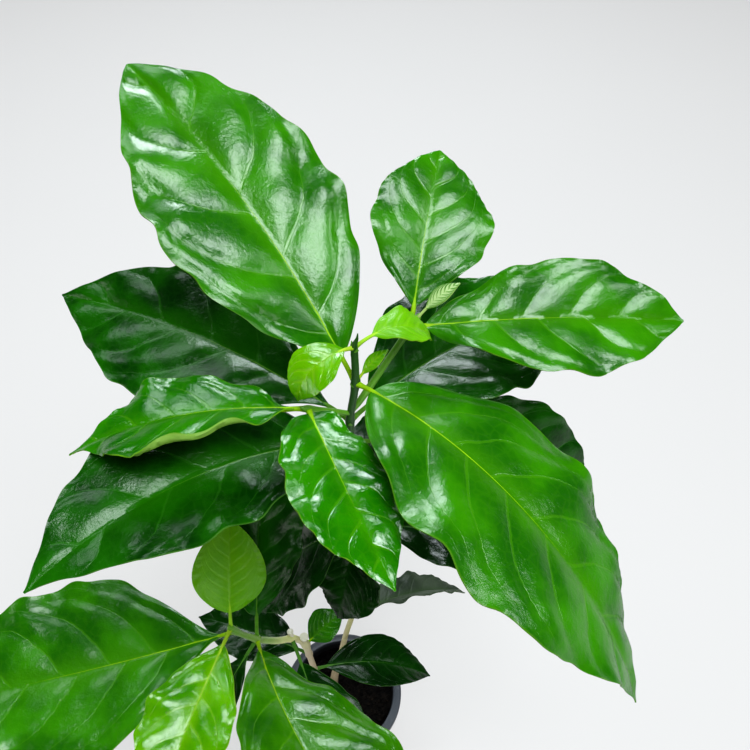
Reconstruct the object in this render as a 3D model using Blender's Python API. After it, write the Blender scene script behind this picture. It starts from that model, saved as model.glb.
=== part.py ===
"""Potted coffee plant: a nursery pot of soil with two stems and their glossy leaves.

Lengths below are in millimetres and angles in degrees; the meshes are written in metres.
The origin is the middle of the pot's flat underside, +Z is up, and the plant's front is -Y.
"""
import math

import bpy
import numpy as np

MM = 0.001
GAP = 0.3  # clearance between touching pieces

# Pot: a round nursery pot with a flat lip that turns down.
POT_HEIGHT = 82.0
RIM_DIAMETER = 90.0
LIP_WIDTH = 6.2
LIP_SKIRT = 6.0
BASE_DIAMETER = 62.0
WALL = 1.2
FLOOR = 2.0
POT_SIDES = 48
DRAIN_HOLES = 6
DRAIN_DIAMETER = 7.0
DRAIN_RING = 20.0

# Soil
SOIL_TOP = 73.0
SOIL_MOUND = 1.6
SOIL_RINGS = 5
SOIL_SIDES = 36
STEM_DEPTH = 24.0  # how far the stems stand in the soil

# Leaf blades
BLADE_THICKNESS = 0.8
PETIOLE_HALF_WIDTH = 1.3
RIB_DEPTH = 1.1
ACROSS = (-1.0, -0.5, 0.0, 0.5, 1.0)  # places across a blade, from left edge to right edge
STEM_SIDES = 10


def catmull(points, steps):
    """A smooth curve through the points, with the same number of steps in each span."""
    points = np.array(points, float)
    ends = np.vstack([2 * points[0] - points[1], points, 2 * points[-1] - points[-2]])
    curve = []
    for i in range(len(points) - 1):
        a, b, c, d = ends[i:i + 4]
        for t in np.arange(steps) / steps:
            curve.append(0.5 * (2 * b + (c - a) * t + (2 * a - 5 * b + 4 * c - d) * t ** 2
                                + (3 * b - a - 3 * c + d) * t ** 3))
    curve.append(points[-1])
    return np.array(curve)


# Stems: each row is x, y, z and radius. A node is where leaves grow.
MAIN_STEM = [
    (-8, 8, SOIL_TOP - STEM_DEPTH, 3.6), (-7, 8, 84, 3.5), (-3.6, 7.5, 116, 3.1),
    (1, 6.4, 150, 2.9), (5.3, 5, 186, 2.7), (10.1, 3.5, 219, 2.6), (13.2, 2.4, 244, 2.5),
    (14, 2, 290, 2.35), (14, 1.2, 345, 2.1), (14.4, 1, 417, 1.9), (14.5, 1, 434, 1.8),
    (17, 2.5, 455, 1.7), (17, 4, 474, 1.5), (18, 4, 478.5, 1.3), (18.4, 3.9, 482, 0.5)]
SIDE_STEM = [
    (-17.5, -5, SOIL_TOP - STEM_DEPTH, 2.7), (-17.2, -6, 87, 2.6), (-17.1, -9, 113.5, 2.5),
    (-15.8, -15, 176, 2.3), (-16.2, -17.5, 204, 2.1), (-16.8, -20, 234, 2.1), (-16.8, -21, 249, 2.2)]
LOW_SHOOT = [
    (-16.8, -19.5, 230, 1.6), (-19.5, -20.5, 242, 1.9), (-23.6, -23, 252, 1.9), (-30.4, -28, 262, 1.9),
    (-36.7, -34, 279, 1.8), (-38.2, -36.7, 287.5, 1.8), (-43, -39, 299, 1.6), (-46.3, -40, 307, 1.6),
    (-48, -40.5, 312, 1.5), (-49, -40.8, 316, 0.5)]
LOW_STUB = [(-23.6, -23, 252, 1.4), (-24.2, -21.7, 256, 1.5), (-24, -21.4, 259, 1.6)]
LEFT_TWIG = [(14.6, 1.1, 437, 1.0), (7, -4, 445, 1.3), (-1.2, -9, 453, 1.3), (-3.8, -10.4, 455.6, 0.5)]
RIGHT_TWIG = [
    (14.6, 1.1, 437, 1.0), (20, 5, 443.5, 1.5), (29, 12.5, 455, 1.4), (39.2, 21.6, 467, 1.4),
    (42, 24, 470.3, 1.3), (43, 24.9, 471.7, 0.6)]

NODES = {  # place on the stem, and the stem's radius there
    "top1": ((17, 4, 474), 1.9), "top2": ((17, 2.5, 455), 2.1), "top3": ((14.5, 1, 432), 2.3),
    "top4": ((14.4, 1, 417), 2.3), "mid1": ((14, 1.2, 345), 2.6), "mid2": ((14, 1.4, 334), 2.65),
    "low1": ((10.6, 3.3, 222), 3.1), "left": ((-1.2, -9, 453), 1.7),
    "right": ((39.2, 21.6, 467), 1.8), "side1": ((-15.8, -15, 176), 2.8),
    "side2": ((-16.4, -18.3, 214), 2.2), "side3": ((-16.8, -20, 234), 2.6),
    "shoot0": ((-23.6, -23, 252), 2.3), "shoot1": ((-38.2, -36.7, 287.5), 2.2),
    "shoot2": ((-46.3, -40, 307), 1.9), "shoot3": ((-48, -40.5, 312), 1.8)}

OLD = (0.010, 0.055, 0.008)
MATURE = (0.025, 0.17, 0.006)
YOUNG = (0.11, 0.36, 0.01)


def leaf(node, azimuth, rise, droop, length, left, right, **more):
    """One leaf's measures. Azimuth is its heading from +X, rise its slope at the stem, droop how far
    that slope falls by the tip, and left and right the widest half blades seen from the stem."""
    measures = dict(node=node, azimuth=azimuth, rise=rise, droop=droop, length=length, left=left,
                    right=right, petiole=9.0, sway=0, roll=0, twist=0, fold=14, cup=16, peak=0.48,
                    base=0.95, taper=1.1, waves=4.5, wave=2.2, colour=MATURE)
    measures.update(more)
    return measures


LEAVES = {
    # the main stem's top, from the youngest pair down
    "leaf_bud_front": leaf("top1", -146, 26, 118, 31, 9.5, 9, petiole=4.5, roll=16, fold=19, colour=YOUNG),
    "leaf_bud_back": leaf("top1", 24, 36, 108, 31, 9.5, 9, petiole=8, sway=-7, colour=YOUNG),
    "leaf_bud_side": leaf("top2", 25, 56, 30, 14.5, 3.3, 3.3, petiole=5, waves=0, colour=YOUNG),
    "leaf_top_back": leaf("top2", 126, 39, 20, 147, 38, 37, petiole=12, sway=12, roll=3, twist=6,
                          base=0.72, taper=0.78),
    "leaf_top_front": leaf("top2", -40, 13, 77, 163, 41, 43, sway=-10, roll=9, twist=22, fold=10,
                           cup=20, peak=0.46, base=0.67, taper=1.36),
    "leaf_upper_left": leaf("top3", 143, 6, 14, 152, 38, 32, petiole=10, sway=17, roll=9, twist=10,
                            peak=0.52, base=1.25, taper=1.0, colour=OLD),
    "leaf_upper_right": leaf("top3", 43, 11, 35, 124, 37, 35, petiole=10.5, sway=-17, twist=-8,
                             peak=0.45, colour=OLD),
    "leaf_long_left": leaf("top4", 201, 25, 37, 133, 33, 35, petiole=8, sway=27, fold=18,
                           cup=13, base=0.85, colour=OLD),
    "leaf_long_right": leaf("top4", 6, -7, 35, 121, 24, 28, sway=9, roll=-32, twist=-9, fold=22,
                            cup=9, peak=0.58, taper=0.88, colour=OLD),
    # the two twigs in the axils of the third pair
    "leaf_twig_left_out": leaf("left", 189, 18, 52, 93, 22.5, 22, petiole=4, roll=-13,
                               twist=3, peak=0.56, base=1.1, taper=1.85),
    "leaf_twig_left_front": leaf("left", -69, 10, 20, 79, 17, 21.5, petiole=3, sway=5, roll=13,
                                 twist=4, peak=0.55, base=0.38),
    "leaf_twig_right_back": leaf("right", 80, 42, 27, 70, 23, 27, petiole=7.4, sway=-2, roll=-10,
                                 twist=-8, peak=0.51, base=1.1),
    "leaf_twig_right_out": leaf("right", 3, 5, 17, 109, 24.5, 25.5, petiole=5, sway=3, roll=-18,
                                twist=-10, fold=17, cup=13, peak=0.57, base=0.85, taper=0.94),
    "leaf_twig_right_bud": leaf("right", 20, 60, 40, 17, 4, 4, petiole=10, waves=0, colour=YOUNG),
    # lower leaves of the main stem
    "leaf_mid_right": leaf("mid1", -5, 3, 30, 95, 24, 23, petiole=10.5, roll=5, colour=OLD),
    "leaf_mid_left": leaf("mid1", 188, -35, 19, 87, 29, 26, petiole=7, roll=9, peak=0.45, base=0.73, colour=OLD),
    "leaf_low_front": leaf("mid2", -97, -34, 34, 43, 21, 17, petiole=7, sway=-22, roll=-8, twist=-6, colour=OLD),
    "leaf_low_back": leaf("mid2", 66, 8, 34, 108, 27, 27, colour=OLD),
    "leaf_stem_right": leaf("low1", 28, 2, 49, 84, 16, 14, petiole=6, sway=-16, roll=29,
                            twist=8, fold=24, cup=6, base=0.7, colour=OLD),
    # the side stem and its low shoot
    "leaf_over_soil": leaf("side1", 14, 5, 50, 79, 19.5, 18, petiole=7.5, sway=-23, roll=9, colour=OLD),
    "leaf_side_young": leaf("side3", 35, 37, 30, 27.5, 11, 9, petiole=3.5, roll=-9, peak=0.44),
    "leaf_side_under": leaf("shoot0", -66, 4, 35, 95, 23, 22, petiole=15, colour=OLD),
    "leaf_side_back": leaf("side2", 163, 20, 36, 69, 19, 19, petiole=7, colour=OLD),
    "leaf_shoot_left": leaf("shoot2", 192, -11, -15, 165, 44, 46, petiole=6.5, twist=11,
                            peak=0.42, base=1.36, taper=0.55),
    "leaf_shoot_front": leaf("shoot3", -106, 10, 28, 87, 21, 22, petiole=8.5, roll=4, colour=YOUNG),
    "leaf_shoot_back": leaf("shoot3", 89, 58, 27, 47, 18.5, 18, petiole=9.2, roll=-8, peak=0.43,
                            base=0.67, taper=0.73, waves=2, wave=0.8, colour=YOUNG),
    "leaf_shoot_low_front": leaf("shoot1", -69, 26, 21, 157, 39, 33, petiole=7.5, sway=26,
                                 roll=25, twist=-5, peak=0.57),
    "leaf_shoot_low_back": leaf("shoot1", 85, 61, 31, 102, 24, 23, petiole=14, roll=-7, colour=OLD),
    "leaf_shoot_under": leaf("shoot1", -125, -18, 40, 78, 12, 12, petiole=8, colour=OLD),
}


def material(name, colour, roughness, metallic=0.0):
    made = bpy.data.materials.new(name)
    made.use_nodes = True
    shader = made.node_tree.nodes["Principled BSDF"]
    shader.inputs["Base Color"].default_value = (*colour, 1)
    shader.inputs["Roughness"].default_value = roughness
    shader.inputs["Metallic"].default_value = metallic
    return made


def mesh_object(name, points, faces, finish):
    mesh = bpy.data.meshes.new(name)
    mesh.from_pydata([tuple(MM * c for c in point) for point in points], [], faces)
    mesh.materials.append(finish)
    mesh.shade_smooth()
    mesh.set_sharp_from_angle(angle=math.radians(40))
    made = bpy.data.objects.new(name, mesh)
    bpy.context.collection.objects.link(made)
    return made


def ring_faces(rings, sides, first=0):
    """Quads between neighbouring rings of points, and a cap at each end."""
    faces = [tuple(first + i for i in reversed(range(sides)))]
    for r in range(rings - 1):
        for i in range(sides):
            a = first + r * sides + i
            b = first + r * sides + (i + 1) % sides
            faces.append((a, b, b + sides, a + sides))
    faces.append(tuple(first + (rings - 1) * sides + i for i in range(sides)))
    return faces


def swollen(centre, radius, nodes):
    """The stem's radius with a low ring at each node."""
    for place, _ in nodes:
        away = np.linalg.norm(np.array(place, float) - centre)
        radius = radius * (1 + 0.24 * math.exp(-(away / 2.6) ** 2))
    return radius


def stem_rings(rows, steps, extra=0.0):
    """Centres, radii and ring points of a stem. Extra widens it, as for the hole that it stands in."""
    curve = catmull(rows, steps)
    centres = curve[:, :3]
    along = np.gradient(centres, axis=0)
    along /= np.linalg.norm(along, axis=1)[:, None]
    points = []
    for centre, radius, ahead in zip(centres, curve[:, 3], along):
        across = np.cross(ahead, (0, 1, 0))
        across /= np.linalg.norm(across)
        up = np.cross(across, ahead)
        wide = swollen(centre, radius, NODES.values()) + extra
        for i in range(STEM_SIDES):
            turn = 2 * math.pi * i / STEM_SIDES
            points.append(centre + wide * (math.cos(turn) * across - math.sin(turn) * up))
    return points, ring_faces(len(centres), STEM_SIDES)


def stem(name, rows, finish, steps=2, extra=0.0):
    return mesh_object(name, *stem_rings(rows, steps, extra), finish)


def apply_modifiers(target):
    graph = bpy.context.evaluated_depsgraph_get()
    mesh = bpy.data.meshes.new_from_object(target.evaluated_get(graph))
    target.modifiers.clear()
    target.data = mesh


def join_by_union(target, others):
    """Joins the others to the target in one Boolean union, and removes them."""
    group = bpy.data.collections.new(target.name + "_joined")
    for other in others:
        group.objects.link(other)
    union = target.modifiers.new("join", "BOOLEAN")
    union.operation = "UNION"
    union.operand_type = "COLLECTION"
    union.collection = group
    union.solver = "EXACT"
    apply_modifiers(target)
    for other in others:
        bpy.data.objects.remove(other)
    bpy.data.collections.remove(group)


def cut(target, cutter):
    cutter.hide_render = True
    cutter.display_type = "WIRE"
    hole = target.modifiers.new("hole", "BOOLEAN")
    hole.operation = "DIFFERENCE"
    hole.object = cutter
    hole.solver = "EXACT"


def turned(profile, sides):
    """Points and faces of a profile of (radius, height) turned about Z. It starts and ends on the axis."""
    points = [(0, 0, profile[0][1])]
    for radius, height in profile[1:-1]:
        for i in range(sides):
            turn = 2 * math.pi * i / sides
            points.append((radius * math.cos(turn), radius * math.sin(turn), height))
    points.append((0, 0, profile[-1][1]))
    rows = len(profile) - 2
    faces = []
    for i in range(sides):
        j = (i + 1) % sides
        faces.append((0, 1 + j, 1 + i))
        for row in range(rows - 1):
            a = 1 + row * sides
            faces.append((a + i, a + j, a + sides + j, a + sides + i))
        last = 1 + (rows - 1) * sides
        faces.append((last + i, last + j, len(points) - 1))
    return points, faces


def wall_radius(height):
    """Outer radius of the pot's tapered wall at a height."""
    top = RIM_DIAMETER / 2 - LIP_WIDTH + WALL
    return BASE_DIAMETER / 2 + (top - BASE_DIAMETER / 2) * height / POT_HEIGHT


def make_pot():
    rim = RIM_DIAMETER / 2
    inner = rim - LIP_WIDTH
    skirt = POT_HEIGHT - LIP_SKIRT
    profile = [
        (0, 0), (BASE_DIAMETER / 2 - 1.5, 0), (wall_radius(1.5), 1.5),
        (wall_radius(skirt - 2), skirt - 2), (wall_radius(skirt), POT_HEIGHT - 2.2),
        (rim - WALL, POT_HEIGHT - 2.2), (rim - WALL, skirt), (rim, skirt), (rim, POT_HEIGHT - 1.2),
        (rim - 1.2, POT_HEIGHT), (inner + 0.8, POT_HEIGHT), (inner, POT_HEIGHT - 0.9),
        (wall_radius(FLOOR) - WALL, FLOOR), (0, FLOOR)]
    finish = material("pot_plastic", (0.055, 0.062, 0.075), 0.42)
    pot = mesh_object("pot", *turned(profile, POT_SIDES), finish)
    for i in range(DRAIN_HOLES):
        turn = 2 * math.pi * i / DRAIN_HOLES
        bpy.ops.mesh.primitive_cylinder_add(
            vertices=12, radius=DRAIN_DIAMETER / 2 * MM, depth=4 * FLOOR * MM,
            location=(DRAIN_RING * math.cos(turn) * MM, DRAIN_RING * math.sin(turn) * MM, FLOOR / 2 * MM))
        drill = bpy.context.object
        drill.name = f"drain_drill_{i + 1}"
        cut(pot, drill)


def make_soil():
    draw = np.random.default_rng(7)
    bottom = FLOOR + GAP
    lower = wall_radius(bottom) - WALL - GAP
    upper = wall_radius(SOIL_TOP) - WALL - GAP - 0.2
    profile = [(0, bottom), (lower, bottom), (upper, SOIL_TOP - 1.5)]
    for ring in range(1, SOIL_RINGS):
        profile.append((upper * (1 - ring / SOIL_RINGS), SOIL_TOP - 1.5))
    profile.append((0, SOIL_TOP))
    points, faces = turned(profile, SOIL_SIDES)
    bumpy = []
    for x, y, z in points:
        out = math.hypot(x, y) / upper
        if z > SOIL_TOP - 2 and out < 0.98:
            z += SOIL_MOUND * (1 - out ** 2) + draw.uniform(-0.8, 0.8)
        bumpy.append((x, y, z))
    soil = mesh_object("soil", bumpy, faces, material("soil_peat", (0.012, 0.009, 0.007), 0.95))
    wire = material("cutter", (1, 0, 0), 0.5)
    for name, rows in (("main_hole", MAIN_STEM), ("side_hole", SIDE_STEM)):
        deeper = [(*rows[0][:2], rows[0][2] - GAP, rows[0][3])] + list(rows[:3])
        cut(soil, stem(name, deeper, wire, extra=GAP + 0.25))


def outline(t, measures):
    """Half width of the blade at t along it, as a share of its widest."""
    peak = measures["peak"]
    if t < peak:
        return math.sin(math.pi / 2 * t / peak) ** measures["base"]
    return max(math.cos(math.pi / 2 * (t - peak) / (1 - peak)), 0) ** measures["taper"]


def midrib(measures):
    """Length run, centre, heading, right side and upper side at many places along petiole and blade."""
    total = measures["petiole"] + measures["length"]
    run = np.linspace(0, total, 161)
    u = run / total
    slope = np.radians(measures["rise"] - measures["droop"] * u ** 1.15)
    heading = np.radians(measures["azimuth"] + measures["sway"] * u)
    ahead = np.stack([np.cos(slope) * np.cos(heading), np.cos(slope) * np.sin(heading), np.sin(slope)], 1)
    steps = (ahead[1:] + ahead[:-1]) / 2 * np.diff(run)[:, None]
    centre = np.vstack([np.zeros(3), np.cumsum(steps, axis=0)]) + np.array(NODES[measures["node"]][0], float)
    level = np.stack([np.sin(heading), -np.cos(heading), 0 * heading], 1)
    upright = np.cross(level, ahead)
    roll = np.radians(measures["roll"] + measures["twist"] * u)[:, None]
    side = np.cos(roll) * level + np.sin(roll) * upright
    upper = np.cos(roll) * upright - np.sin(roll) * level
    return run, centre, ahead, side, upper


def leaf_rings(measures, stations):
    """Upper and lower points of the leaf at each station: a length run from the stem's middle."""
    run, centre, ahead, side, upper = midrib(measures)
    petiole = measures["petiole"]
    rings = []
    for station in stations:
        place, along, right, up = (
            np.array([np.interp(station, run, values[:, i]) for i in range(3)])
            for values in (centre, ahead, side, upper))
        t = min(max((station - petiole) / measures["length"], 0), 1)
        shape = outline(t, measures)
        small = min(1, measures["length"] / 60)
        stalk = PETIOLE_HALF_WIDTH * (0.45 + 0.55 * small)
        top, bottom = [], []
        for v in ACROSS:
            widest = measures["right"] if v > 0 else measures["left"]
            half = math.hypot(widest * shape, stalk * (1 - t) + 0.5 * t)
            blade = min(1, widest * shape / (3 * stalk))  # 0 on the petiole and 1 on the blade
            tilt = math.radians(measures["fold"] - measures["cup"] * abs(v) / 2) * blade
            wave = measures["wave"] * small * blade * v ** 2 * math.sin(
                2 * math.pi * (measures["waves"] * t + 0.5 * (v > 0)))
            flat = np.sign(v) * abs(v) * half * math.cos(tilt)
            lift = abs(v) * half * math.sin(tilt) + wave
            lean = math.radians(measures["fold"] - measures["cup"] * abs(v)) * blade * np.sign(v)
            out = up * math.cos(lean) - right * math.sin(lean)
            middle = place + flat * right + lift * up
            round_off = math.sqrt(max(1 - 0.75 * v ** 2, 0))
            thick = BLADE_THICKNESS / 2 * blade + (1 - blade) * 0.8 * stalk * round_off
            rib = RIB_DEPTH * small * (1 - 0.9 * t) * (v == 0) * blade
            top.append(middle + out * thick)
            bottom.append(middle - out * (thick + rib))
        rings.append((place, along, top, bottom))
    return rings


def away_from(stem_axis, along):
    """The direction square to the stem that the leaf leaves in."""
    away = along - np.dot(along, stem_axis) * stem_axis
    return away / np.linalg.norm(away)


def seat(ring, measures, stem_axis):
    """Slides the first ring's points along the leaf onto a plane beside the stem, a gap away from it."""
    place, along, top, bottom = ring
    node, radius = NODES[measures["node"]]
    away = away_from(stem_axis, along)
    far = radius + GAP
    slid = []
    for row in (top, bottom):
        slid.append([p + along * (far - np.dot(p - np.array(node, float), away)) / np.dot(along, away)
                     for p in row])
    return place, along, slid[0], slid[1]


def leaf_mesh(measures, stem_axis):
    length, petiole = measures["length"], measures["petiole"]
    count = 16 if length > 60 else 10 if length > 25 else 6
    along = midrib(measures)[2][0]
    steepness = np.dot(along, away_from(stem_axis, along))
    start = (NODES[measures["node"]][1] + GAP) / steepness
    clear = start + 1.2 + 2 * (1 - steepness) * PETIOLE_HALF_WIDTH
    stations = [start, clear]
    if petiole > clear + 4:
        stations.append((clear + petiole) / 2)
    first = max(petiole + length * 0.35 / (count + 0.35), clear + 1)
    stations += [first + (petiole + length - first) * i / count for i in range(count + 1)]
    rings = leaf_rings(measures, stations)
    rings[0] = seat(rings[0], measures, stem_axis)
    points = []
    for _, _, top, bottom in rings:
        points += top + bottom
    n = len(ACROSS)
    faces = []
    for r in range(len(rings) - 1):
        a, b = 2 * n * r, 2 * n * (r + 1)
        for j in range(n - 1):
            faces += [(a + j, a + j + 1, b + j + 1), (a + j, b + j + 1, b + j)]
            k = n + j
            faces += [(a + k, b + k + 1, a + k + 1), (a + k, b + k, b + k + 1)]
        faces += [(a, b, b + n), (a, b + n, a + n)]
        e = n - 1
        faces += [(a + e, b + e + n, b + e), (a + e, a + e + n, b + e + n)]
    last = 2 * n * (len(rings) - 1)
    for j in range(n - 1):
        faces.append((j, j + n, j + n + 1, j + 1))
        faces.append((last + j, last + j + 1, last + j + n + 1, last + j + n))
    return points, faces


def axis_at(place):
    """Direction of the nearest stem at a node."""
    best = None
    for rows in (MAIN_STEM, SIDE_STEM, LOW_SHOOT, LEFT_TWIG, RIGHT_TWIG):
        curve = catmull(rows, 6)[:, :3]
        away = np.linalg.norm(curve - np.array(place, float), axis=1)
        near = int(np.argmin(away))
        if best is None or away[near] < best[0]:
            step = curve[min(near + 1, len(curve) - 1)] - curve[max(near - 1, 0)]
            best = (away[near], step / np.linalg.norm(step))
    return best[1]


def make_leaves():
    finishes = {}
    for name, measures in LEAVES.items():
        colour = measures["colour"]
        if colour not in finishes:
            finishes[colour] = material(f"leaf_{len(finishes) + 1}", colour, 0.2)
        points, faces = leaf_mesh(measures, axis_at(NODES[measures["node"]][0]))
        mesh_object(name, points, faces, finishes[colour])


def make_stems():
    green = material("stem_green", (0.05, 0.13, 0.02), 0.4)
    bark = material("stem_bark", (0.45, 0.37, 0.22), 0.8)
    main = stem("main_stem", MAIN_STEM, green)
    join_by_union(main, [stem("left_twig", LEFT_TWIG, green), stem("right_twig", RIGHT_TWIG, green)])
    side = stem("side_stem", SIDE_STEM, bark)
    join_by_union(side, [stem("low_shoot", LOW_SHOOT, green), stem("low_stub", LOW_STUB, bark)])


for old in list(bpy.data.objects):
    bpy.data.objects.remove(old)
make_pot()
make_soil()
make_stems()
make_leaves()
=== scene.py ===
import math

import bpy
import numpy as np
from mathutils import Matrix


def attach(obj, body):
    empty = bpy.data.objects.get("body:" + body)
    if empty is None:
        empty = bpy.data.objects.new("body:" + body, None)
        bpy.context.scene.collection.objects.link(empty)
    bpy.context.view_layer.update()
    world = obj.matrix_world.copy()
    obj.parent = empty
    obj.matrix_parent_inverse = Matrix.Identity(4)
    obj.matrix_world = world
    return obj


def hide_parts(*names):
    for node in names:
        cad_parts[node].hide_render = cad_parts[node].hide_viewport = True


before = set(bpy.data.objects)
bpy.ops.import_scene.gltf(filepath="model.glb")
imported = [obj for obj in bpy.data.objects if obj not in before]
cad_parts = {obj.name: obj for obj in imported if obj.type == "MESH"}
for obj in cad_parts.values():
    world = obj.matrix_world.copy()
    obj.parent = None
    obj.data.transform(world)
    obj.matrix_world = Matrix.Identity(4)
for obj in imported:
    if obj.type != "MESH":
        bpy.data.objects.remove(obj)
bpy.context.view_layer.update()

mm = 0.001
print("frame loaded:", len(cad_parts), "nodes")

# Camera: looks down on the plant from the front, as in the photograph
cameraView = dict(place=(0.02478933, -0.185936, 0.6844228), tilt=40, lens=36, sensor=36)

# Stems in millimetres: x, y, z and radius. Leaves grow at the joints.
stemRows = dict(
    main=[(-8, 8, 49, 3.4), (-7, 8, 84, 3.1), (-3.6, 7.5, 116, 2.5), (1, 6.4, 150, 2.05), (5.3, 5, 186, 1.8),
          (10.1, 3.5, 219, 1.7), (13.2, 2.4, 244, 1.7), (14, 2, 290, 1.75), (14, 1.2, 345, 1.75),
          (14.4, 1, 417, 1.7), (14.5, 1, 434, 1.65), (17, 2.5, 455, 1.55), (17, 4, 474, 1.4),
          (18, 4, 478.5, 1.2), (18.4, 3.9, 482, 0.5)],
    side=[(-17.5, -5, 49, 2.7), (-17.2, -6, 87, 2.5), (-17.1, -9, 113.5, 2.3), (-15.8, -15, 176, 2.1),
          (-16.2, -17.5, 204, 1.9), (-16.8, -20, 234, 1.9), (-16.8, -21, 249, 2.1)],
    shoot=[(-16.8, -19.5, 230, 1.6), (-19.5, -20.5, 242, 1.9), (-23.6, -23, 252, 1.9), (-30.4, -28, 262, 1.9),
           (-36.7, -34, 279, 1.8), (-38.2, -36.7, 287.5, 1.8), (-43, -39, 299, 1.6), (-46.3, -40, 307, 1.6),
           (-48, -40.5, 312, 1.5), (-49, -40.8, 316, 0.5)],
    cap=[(-16.8, -20.9, 246.6, 2.15), (-16.8, -21, 248.4, 2.3), (-16.8, -21, 249.4, 2.2)],
    stub=[(-23.6, -23, 252, 1.4), (-24.2, -21.7, 256, 1.5), (-24, -21.4, 259, 1.6)],
    leftTwig=[(14.6, 1.1, 437, 1.0), (7, -4, 445, 1.3), (-1.2, -9, 453, 1.3), (-3.8, -10.4, 455.6, 0.5)],
    rightTwig=[(14.6, 1.1, 437, 1.0), (20, 5, 443.5, 1.5), (29, 12.5, 455, 1.4), (39.2, 21.6, 467, 1.4),
               (42, 24, 470.3, 1.3), (43, 24.9, 471.7, 0.6)])
joints = dict(
    top1=((17, 4, 474), 1.9), top2=((17, 2.5, 455), 2.1), top3=((14.5, 1, 432), 2.3),
    top4=((14.4, 1, 417), 2.3), mid1=((14, 1.2, 345), 2.6), mid2=((14, 1.4, 334), 2.65),
    low1=((10.6, 3.3, 222), 3.1), left=((-1.2, -9, 453), 1.7), right=((39.2, 21.6, 467), 1.8),
    side1=((-15.8, -15, 176), 2.8), side2=((-16.4, -18.3, 214), 2.2), side3=((-16.8, -20, 234), 2.6),
    shoot0=((-23.6, -23, 252), 2.3), shoot1=((-38.2, -36.7, 287.5), 2.2), shoot2=((-46.3, -40, 307), 1.9),
    shoot3=((-48, -40.5, 312), 1.8))


def leaf(joint, azimuth, rise, droop, length, left, right, **more):
    measures = dict(joint=joint, azimuth=azimuth, rise=rise, droop=droop, length=length, left=left,
                    right=right, petiole=9.0, sway=0, roll=0, twist=0, fold=14, cup=16, peak=0.48,
                    base=0.95, taper=1.1, waves=4.5, wave=2.2, age="mature", pairs=6.5, pucker=1.0, curl=0)
    measures.update(more)
    return measures


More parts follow.
